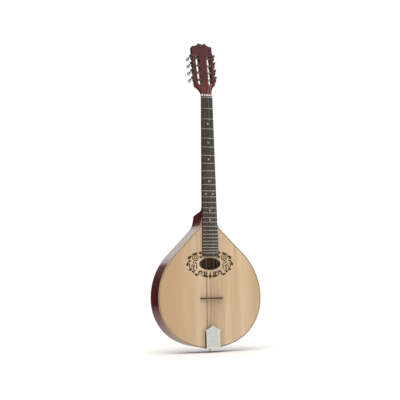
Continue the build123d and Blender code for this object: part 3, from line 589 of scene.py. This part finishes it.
def spiral(centre, start_radius, end_radius, start, turn, steps=14):
    """Points of a curl that winds from one radius to another; the turn is in degrees."""
    points = []
    for step in range(steps + 1):
        share = step / steps
        angle = radians(start + turn * share)
        radius = start_radius + (end_radius - start_radius) * share
        points.append((centre[0] + radius * cos(angle), centre[1] + radius * sin(angle)))
    return points


# ---- Rosette scrollwork, in millimetres from the soundhole's middle, right half ----

ROSETTE_LOW, ROSETTE_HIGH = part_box("rosette")
HOLE_X = (ROSETTE_LOW.x + ROSETTE_HIGH.x) / 2
HOLE_Z = (ROSETTE_LOW.z + ROSETTE_HIGH.z) / 2
INLAY_PROUD = 0.12 * MM
INLAY_DEPTH = 0.3 * MM
# thin end, thick end, half width, sideways bend
LEAVES = (
    ((64, 31), (43, 36.5), 2.9, 1.5),
    ((39, 37.5), (28, 34.5), 3.2, 0.0),
    ((62, 27), (76, 15.5), 3.4, 1.2),
    ((63, 11.5), (76, 8), 2.4, 0.6),
    ((77, 9), (81, -6), 3.0, -1.2),
    ((63, -18.5), (75, -17.5), 2.6, 0.0),
    ((66, -21.5), (55, -28), 2.5, -0.8),
    ((56, -31.5), (43.5, -37), 2.9, -1.0),
    ((30, -38.5), (7, -42), 3.0, -1.4),
    ((37, 26), (27, 21), 2.4, 1.0),
)
CURLS = (
    (spiral((50, 21), 11.5, 8.5, 65, -325), 0.95),
    (spiral((50, 21), 6.6, 1.8, 100, -420), 0.9),
    (((60, 8.5), (57, 4.5), (54, 1.5)), 1.0),
    (((52, 8), (50, 3.5), (46, 1)), 1.0),
    (((69, 5), (72.5, -3), (70.5, -10.5), (63, -16)), 1.0),
    (spiral((62.5, -5), 5.2, 1.5, 70, 380), 0.85),
    (((53, -2), (55, -8), (58, -14), (55, -20), (49, -22)), 1.05),
    (((45, -1), (47.5, -7), (46, -13), (50, -17)), 1.0),
    (((40.5, -35.5), (39, -26.5), (33.5, -23), (28.5, -27), (30, -36)), 1.45),
    (((35.5, -34), (34.2, -29)), 0.9),
    (((22.5, -23.8), (19.6, -29), (19.8, -36.5)), 1.6),
    (((14.6, -24.6), (12.6, -30), (12.6, -36.5)), 1.6),
)


def rosette_scrolls():
    mesh = bmesh.new()
    front = TOP_FACE - INLAY_PROUD
    back = front + INLAY_DEPTH
    for side in (-1, 1):

        def place(point, side=side):
            return Vector((HOLE_X + side * point.x * MM, HOLE_Z + point.y * MM))

        for thin, thick, half, bend in LEAVES:
            leaf(mesh, thin, thick, half, bend, place, front, back)
        for points, half in CURLS:
            stroke(mesh, points, half, place, front, back)

    def middle(point):
        return Vector((HOLE_X + point.x * MM, HOLE_Z + point.y * MM))

    for step in range(2):
        leaf(mesh, (0, -39.5 + 4.6 * (1 - 2 * step)), (0, -39.5), 3.6, 0.0, middle, front, back)
    stroke(mesh, ((-4.6, -39.8), (0, -39.8), (4.6, -39.8)), 3.4, middle, front, back)
    stroke(mesh, ((0, -26), (0.4, -29.5), (0, -34)), 1.1, middle, front, back)
    add_piece("rosette_scrollwork", mesh, ROOT, "rosette_inlay", smooth=False)


rosette_scrolls()


# ---- Lines round the soundboard ----

def soundboard_lines():
    outline = even_steps(front_outline("soundboard"), 4 * MM)
    mesh = bmesh.new()
    front = TOP_FACE - 0.06 * MM
    flat_band(mesh, shrunk(outline, 0.1 * MM), shrunk(outline, 0.9 * MM), front, front + INLAY_DEPTH)
    add_piece("soundboard_purfling", mesh, ROOT, "rosewood", smooth=False)
    mesh = bmesh.new()
    flat_band(mesh, shrunk(outline, 1.0 * MM), shrunk(outline, 1.9 * MM), front, front + INLAY_DEPTH)
    add_piece("soundboard_pale_line", mesh, ROOT, "binding", smooth=False)


soundboard_lines()


# ---- Tailpiece cover: raised border and scroll engraving ----

def cover_engraving():
    front_face = COVER_LOW.y
    front = front_face - 0.18 * MM
    back = front + INLAY_DEPTH
    outline = even_steps(front_outline("tailpiece_cover"), 2 * MM)
    mesh = bmesh.new()
    flat_band(mesh, shrunk(outline, 0.3 * MM), shrunk(outline, 1.0 * MM), front, back)
    flat_band(mesh, shrunk(outline, 3.6 * MM), shrunk(outline, 4.1 * MM), front, back)
    middle_x = (COVER_LOW.x + COVER_HIGH.x) / 2
    foot = COVER_LOW.z

    def place_on(side):
        return lambda point: Vector((middle_x + side * point.x * MM, foot + point.y * MM))

    for side in (-1, 1):
        place = place_on(side)
        for level in (14, 28, 42, 54):
            stroke(mesh, spiral((8.5, level), 5.4, 1.2, 215, 470), 0.42, place, front, back)
            stem = ((1, level - 6), (5, level - 4), (12, level - 7), (15, level - 2))
            stroke(mesh, stem, 0.4, place, front, back)
            leaf(mesh, (14, level + 6), (10, level + 1), 1.6, 0.8, place, front, back)
            leaf(mesh, (4, level + 8), (1.5, level + 3), 1.2, -0.4, place, front, back)
    centre = place_on(1)
    stroke(mesh, ((0, 6), (0.8, 20), (-0.8, 36), (0, 52), (0, 68)), 0.45, centre, front, back)
    add_piece("tailpiece_engraving", mesh, "tailpiece_cover", "nickel", COVER_METAL, smooth=False)


cover_engraving()


# ---- Tuning machines ----

OUT = -Vector(JOINTS["tuner_left_1_turn"]["axis"]).normalized()
ACROSS = Vector((1, 0, 0))
ALONG = OUT.cross(ACROSS)
if ALONG.z < 0:
    ALONG = -ALONG
WORM_RADIUS = 3.3 * MM
WORM_ROOT = 2.3 * MM
WORM_LENGTH = 9.0 * MM
WORM_PITCH = 2.45 * MM
SHAFT_RADIUS = 1.6 * MM
SHAFT_FRONT = 6.5 * MM         # past the barrel's axis, towards the face
BUTTON_FROM = 23.0 * MM        # behind the barrel's axis
BUTTON_LENGTH = 20.0 * MM
BUTTON_HALF_WIDTH = 6.5 * MM
BUTTON_HALF_THICKNESS = 5.0 * MM
GEAR_TEETH = 14
GEAR_ROOT_SHARE = 0.81


def worm_thread(mesh, centre):
    """A right-handed thread along the shaft's axis."""
    axis, first, second = square_to(OUT)
    rings = []
    rows, around = 64, 36
    for row in range(rows + 1):
        height = WORM_LENGTH * (row / rows - 0.5)
        room = min(1.0, 7 * (0.5 - abs(row / rows - 0.5)))
        ring = []
        for step in range(around):
            angle = 2 * pi * step / around
            phase = (height / WORM_PITCH - angle / (2 * pi)) % 1.0
            crest = max(0.0, min(1.0, 3.2 * (0.42 - abs(phase - 0.5))))
            radius = WORM_ROOT + (WORM_RADIUS - WORM_ROOT) * crest * room
            ring.append(centre + axis * height + (first * cos(angle) + second * sin(angle)) * radius)
        rings.append(ring)
    skin(mesh, rings)


def screw_head(mesh, origin, axis, radius):
    """A low domed head with a straight slot, standing on origin."""
    axis, first, second = square_to(axis)
    rings = []
    around = 40
    slot = 0.17 * radius
    for share, height in ((0.05, 1.0), (0.4, 0.95), (0.75, 0.75), (0.95, 0.4), (1.0, 0.0)):
        ring = []
        for step in range(around):
            angle = 2 * pi * step / around
            u, v = share * radius * cos(angle), share * radius * sin(angle)
            sunk = 0.45 * height if abs(v) < slot and share < 0.97 else height
            ring.append(Vector(origin) + first * u + second * v + axis * sunk * 0.38 * radius)
        rings.append(ring)
    skin(mesh, rings)


def gear_wheel(mesh, centre, side, radius, half):
    """A toothed wheel with rounded tips, a thinner web and a hub."""
    axis = ACROSS * side
    first, second = ALONG, axis.cross(ALONG)
    per_tooth = 10
    around = GEAR_TEETH * per_tooth
    rings = []
    for share, height in ((0.36, 1.0), (0.36, 0.72), (0.62, 0.72), (0.66, 1.0), (1.0, 1.0), (1.0, 0.8)):
        rings.append((share, height))
    profile = rings + [(share, -height) for share, height in reversed(rings)]
    made = []
    for share, height in profile:
        ring = []
        for step in range(around):
            angle = 2 * pi * step / around
            phase = (step % per_tooth) / per_tooth
            tip = max(0.0, min(1.0, 4.2 * (0.33 - abs(phase - 0.5)) + 0.35))
            reach = radius * share
            if share == 1.0:
                reach = radius * (GEAR_ROOT_SHARE + (1 - GEAR_ROOT_SHARE) * tip)
                if abs(height) == 1.0:
                    reach -= 0.25 * MM
            arm = first * cos(angle) + second * sin(angle)
            ring.append(centre + axis * half * height + arm * reach)
        made.append(ring)
    skin(mesh, made)


def button_shape(mesh, root):
    """A flattened oval that swells from its collar and closes in a round end."""
    down = -OUT
    stations, around = 26, 36
    rings = []
    for station in range(stations + 1):
        t = 0.5 - 0.5 * cos(pi * station / stations)
        swell = min(1.0, (0.42 + 1.16 * t ** 1.1))
        close = max(0.0, 1 - max(0.0, (t - 0.45) / 0.55) ** 2.4) ** 0.5
        half_width = BUTTON_HALF_WIDTH * min(swell, 1.0) * close
        half_thick = BUTTON_HALF_THICKNESS * (0.72 + 0.28 * sin(pi * min(1.0, 1.1 * t))) * close ** 0.8
        ring = []
        for step in range(around):
            angle = 2 * pi * step / around
            u = abs(cos(angle)) ** 0.85 * (1 if cos(angle) > 0 else -1)
            v = abs(sin(angle)) ** 0.85 * (1 if sin(angle) > 0 else -1)
            wide = max(half_width, 0.02 * MM)
            thick = max(half_thick, 0.02 * MM)
            ring.append(root + down * BUTTON_LENGTH * t + ALONG * wide * u + ACROSS * thick * v)
        rings.append(ring)
    skin(mesh, rings)


def tuner(side_name, number):
    side = -1 if side_name == "left" else 1
    stem = f"tuner_{side_name}_{number}"
    knob, barrel = f"{stem}_knob", f"{stem}_barrel"
    post_axis = Vector(JOINTS[f"{stem}_wind"]["pos_m"])
    worm_axis = Vector(JOINTS[f"{stem}_turn"]["pos_m"])
    centre = post_axis + ALONG * (worm_axis - post_axis).dot(ALONG)
    gear_low, gear_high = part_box(f"{stem}_gear")
    radius = (gear_high.z - gear_low.z) / 2

    mesh = bmesh.new()
    worm_thread(mesh, centre)
    collar = BUTTON_FROM
    lathe(mesh, (
        (0.4 * SHAFT_RADIUS, SHAFT_FRONT), (0.85 * SHAFT_RADIUS, SHAFT_FRONT - 0.2 * MM),
        (SHAFT_RADIUS, SHAFT_FRONT - 0.6 * MM), (SHAFT_RADIUS, WORM_LENGTH / 2 - 0.2 * MM),
    ), centre, OUT, 24)
    lathe(mesh, (
        (SHAFT_RADIUS, -WORM_LENGTH / 2 + 0.2 * MM), (SHAFT_RADIUS, -collar + 3.0 * MM),
        (1.35 * SHAFT_RADIUS, -collar + 2.6 * MM), (1.5 * SHAFT_RADIUS, -collar + 1.8 * MM),
        (1.2 * SHAFT_RADIUS, -collar + 1.0 * MM), (SHAFT_RADIUS, -collar + 0.4 * MM),
        (SHAFT_RADIUS, -collar - 2.0 * MM),
    ), centre, OUT, 24)
    worm = f"{stem}_worm"
    add_piece(f"{worm}_shaft", mesh, knob, "nickel", FINISH["brass_plate"], replaces=(worm,))

    mesh = bmesh.new()
    button_shape(mesh, centre - OUT * BUTTON_FROM)
    add_piece(f"{stem}_pearl_button", mesh, knob, "pearl", replaces=(f"{stem}_button",))

    mesh = bmesh.new()
    half = 1.3 * MM
    hub = post_axis.copy()
    gear_wheel(mesh, hub, side, radius, half)
    screw_head(mesh, hub + ACROSS * side * half * 0.98, ACROSS * side, 2.5 * MM)
    add_piece(f"{stem}_gear_wheel", mesh, barrel, "brass_plate", replaces=(f"{stem}_gear",))


for side_name in SIDES:
    for number in TUNERS:
        tuner(side_name, number)


# ---- String turns on the posts ----

STRING_RADII = (0.58 * MM, 0.58 * MM, 0.42 * MM, 0.42 * MM, 0.3 * MM, 0.3 * MM, 0.22 * MM, 0.22 * MM)
POST_RADIUS = 3.0 * MM
POST_STRING_X = (18.3 * MM, 18.3 * MM, 18.3 * MM, 20.0 * MM)


def post_turns(side_name, number):
    """The string's turns round its post, side by side."""
    side = -1 if side_name == "left" else 1
    stem = f"tuner_{side_name}_{number}"
    index = number - 1 if side < 0 else len(STRING_RADII) - number
    wire = STRING_RADII[index]
    axis_point = Vector(JOINTS[f"{stem}_wind"]["pos_m"])
    start_x = side * (POST_STRING_X[number - 1] + 2.2 * wire)
    turns = 2.5 if wire > 0.35 * MM else 3.5
    steps = int(turns * 24)
    path = []
    for step in range(steps + 1):
        share = step / steps
        angle = 2 * pi * turns * share
        x = start_x + side * 2.1 * wire * turns * share
        arm = OUT * cos(angle) + ALONG * sin(angle)
        path.append(Vector((x, axis_point.y, axis_point.z)) + arm * (POST_RADIUS + wire * 1.02))
    mesh = bmesh.new()
    tube(mesh, path, wire, 8)
    slot = "bronze_string" if index < 4 else "steel"
    add_piece(f"{stem}_string_turns", mesh, f"{stem}_barrel", slot)


for side_name in SIDES:
    for number in TUNERS:
        post_turns(side_name, number)


# ---- Studio: pale floor, white surroundings, soft light ----

FLOOR_HALF = 14.0
FLOOR_STEPS = 8
FLOOR_Z = CAD_LOW.z - 0.0002


def studio_floor():
    mesh = bmesh.new()
    levels = [-FLOOR_HALF + 2 * FLOOR_HALF * step / FLOOR_STEPS for step in range(FLOOR_STEPS + 1)]
    grid = [[mesh.verts.new((x, y, FLOOR_Z)) for x in levels] for y in levels]
    for low, high in zip(grid, grid[1:]):
        for i in range(FLOOR_STEPS):
            mesh.faces.new((low[i], low[i + 1], high[i + 1], high[i]))
    data = bpy.data.meshes.new("studio_floor")
    mesh.to_mesh(data)
    mesh.free()
    floor = bpy.data.objects.new("studio_floor", data)
    bpy.context.scene.collection.objects.link(floor)
    paint = Paint("floor_paper", Roughness=0.9)
    paper = paint.noise(paint.stretched(1, 1, 1), 3.0, 2.0)
    colour = paint.mix(paint.between(paper, 0.3, 0.7), (0.93, 0.93, 0.93), (0.90, 0.90, 0.90))
    paint.set("Base Color", colour)
    data.materials.append(paint.material)


studio_floor()


# Bearings run from +Y towards +X, in radians. Heights are the Z of a direction's unit vector.
DARK_LEFT = (radians(-100), radians(-75))
DARK_RIGHT = (radians(-9), radians(-4))
DARK_TOP = (0.318, 0.342)
BEHIND_CAMERA = (-0.9, -0.2)
PANEL_LEFT = (radians(-8), radians(4))
PANEL_RIGHT = (radians(60), radians(40))
PANEL_LOW = (0.26, 0.34)
PANEL_HIGH = (0.85, 0.6)
SKY_STRENGTH = 0.95
PANEL_STRENGTH = 0.25
SEEN_STRENGTH = 1.05


def surroundings():
    """White to the camera; as light and in gloss, dark low down behind the instrument's left."""
    world = bpy.data.worlds.new("studio")
    bpy.context.scene.world = world
    world.use_nodes = True
    nodes, links = world.node_tree.nodes, world.node_tree.links
    nodes.clear()
    output = nodes.new("ShaderNodeOutputWorld")
    lit = nodes.new("ShaderNodeBackground")
    seen = nodes.new("ShaderNodeBackground")
    seen.inputs["Color"].default_value = (1.0, 1.0, 1.0, 1.0)
    seen.inputs["Strength"].default_value = SEEN_STRENGTH
    direction = nodes.new("ShaderNodeTexCoord").outputs["Generated"]
    parts = nodes.new("ShaderNodeSeparateXYZ")
    links.new(direction, parts.inputs["Vector"])

    def math(operation, first, second=None):
        node = nodes.new("ShaderNodeMath")
        node.operation = operation
        for socket, value in zip(node.inputs, (first, second)):
            if isinstance(value, (int, float)):
                socket.default_value = value
            elif value is not None:
                links.new(value, socket)
        return node.outputs["Value"]

    def eased(value, low, high, to_low=0.0, to_high=1.0):
        node = nodes.new("ShaderNodeMapRange")
        node.interpolation_type = "SMOOTHSTEP"
        for socket, number in zip(RANGE_SOCKETS, (low, high, to_low, to_high)):
            node.inputs[socket].default_value = number
        links.new(value, node.inputs["Value"])
        return node.outputs["Result"]

    bearing = math("ARCTAN2", parts.outputs["X"], parts.outputs["Y"])
    open_sky = math("MAXIMUM", eased(bearing, *DARK_RIGHT), eased(bearing, *DARK_LEFT, 1.0, 0.0))
    brightness = math("MAXIMUM", open_sky, eased(parts.outputs["Z"], *DARK_TOP))
    strength = eased(brightness, 0.0, 1.0, 0.0, SKY_STRENGTH)
    front = eased(parts.outputs["Y"], *BEHIND_CAMERA, 0.55, 1.0)
    strength = math("MULTIPLY", strength, front)
    panel = math("MULTIPLY", eased(bearing, *PANEL_LEFT), eased(bearing, *PANEL_RIGHT))
    panel = math("MULTIPLY", panel, eased(parts.outputs["Z"], *PANEL_LOW))
    panel = math("MULTIPLY", panel, eased(parts.outputs["Z"], *PANEL_HIGH))
    strength = math("ADD", strength, math("MULTIPLY", panel, PANEL_STRENGTH))
    links.new(strength, lit.inputs["Strength"])
    lit.inputs["Color"].default_value = (1.0, 0.985, 0.95, 1.0)
    ray = nodes.new("ShaderNodeLightPath").outputs["Is Camera Ray"]
    choose = nodes.new("ShaderNodeMixShader")
    links.new(ray, choose.inputs[0])
    links.new(lit.outputs[0], choose.inputs[1])
    links.new(seen.outputs[0], choose.inputs[2])
    links.new(choose.outputs[0], output.inputs["Surface"])


surroundings()


CARD_ROWS = 24
CARD_NEAR, CARD_FAR = 0.10, 13.9
CARD_Z = CAD_LOW.z + 0.002
CARD_TONED = 2.0               # depth over which its tone changes
CARD_TONES = (
    (0.0, (0.76, 0.74, 0.70)), (0.0246, (0.60, 0.52, 0.50)), (0.0727, (0.43, 0.345, 0.335)),
    (0.47, (0.22, 0.13, 0.135)), (0.68, (0.18, 0.10, 0.105)), (0.70, (0.004, 0.004, 0.004)),
)


def reflection_card():
    """A grey card on the floor behind the left side, seen only in gloss, darker further away."""
    mesh = bmesh.new()
    rings = []
    for row in range(CARD_ROWS + 1):
        y = CARD_NEAR * (CARD_FAR / CARD_NEAR) ** (row / CARD_ROWS)
        left = -2.4 * y - 0.2
        rings.append([mesh.verts.new((x, y, CARD_Z)) for x in (left, 0.0, 0.02)])
    for first, second in zip(rings, rings[1:]):
        for index in range(2):
            mesh.faces.new((first[index], first[index + 1], second[index + 1], second[index]))
    data = bpy.data.meshes.new("reflection_card")
    mesh.to_mesh(data)
    mesh.free()
    card = bpy.data.objects.new("reflection_card", data)
    bpy.context.scene.collection.objects.link(card)
    card.visible_camera = False
    card.visible_diffuse = False
    card.visible_shadow = False
    paint = Paint("card_grey", Roughness=1.0, Specular_IOR_Level=0.0)
    away = paint.between(paint.axis("Y"), 0.0, CARD_TONED)
    paint.set("Base Color", paint.ramp(away, *CARD_TONES))
    data.materials.append(paint.material)


reflection_card()


def soft_sun(name, towards, strength, spread):
    data = bpy.data.lights.new(name, "SUN")
    data.energy = strength
    data.angle = radians(spread)
    data.color = (1.0, 0.98, 0.95)
    light = bpy.data.objects.new(name, data)
    bpy.context.scene.collection.objects.link(light)
    light.rotation_mode = "QUATERNION"
    light.rotation_quaternion = Vector(towards).to_track_quat("-Z", "Y")


KEY_TOWARDS = (0.35, 0.55, -0.9)
KEY_STRENGTH = 1.5
KEY_SPREAD = 50
soft_sun("key", KEY_TOWARDS, KEY_STRENGTH, KEY_SPREAD)


# ---- Camera ----

CAMERA_BEFORE_FACE = 2.8515
CAMERA_PLACE = Vector((-1.1804, TOP_FACE - CAMERA_BEFORE_FACE, 0.2136))
CAMERA_YAW = radians(21.978)
CAMERA_PITCH = radians(5.222)
CAMERA_ROLL = radians(-1.324)
CAMERA_LENS = 85.07
SENSOR = 36.0


def camera():
    flat = Vector((sin(CAMERA_YAW), cos(CAMERA_YAW), 0))
    ahead = flat * cos(CAMERA_PITCH) + Vector((0, 0, sin(CAMERA_PITCH)))
    right = Vector((cos(CAMERA_YAW), -sin(CAMERA_YAW), 0))
    up = right.cross(ahead)
    rolled = right * cos(CAMERA_ROLL) + up * sin(CAMERA_ROLL)
    rolled_up = up * cos(CAMERA_ROLL) - right * sin(CAMERA_ROLL)
    data = bpy.data.cameras.new("camera")
    data.lens = CAMERA_LENS
    data.sensor_width = SENSOR
    data.clip_start, data.clip_end = 0.05, 60.0
    eye = bpy.data.objects.new("camera", data)
    bpy.context.scene.collection.objects.link(eye)
    eye.matrix_world = Matrix((
        (rolled.x, rolled_up.x, -ahead.x, CAMERA_PLACE.x),
        (rolled.y, rolled_up.y, -ahead.y, CAMERA_PLACE.y),
        (rolled.z, rolled_up.z, -ahead.z, CAMERA_PLACE.z),
        (0, 0, 0, 1),
    ))
    bpy.context.scene.camera = eye


camera()
bpy.context.scene.view_settings.view_transform = "Standard"
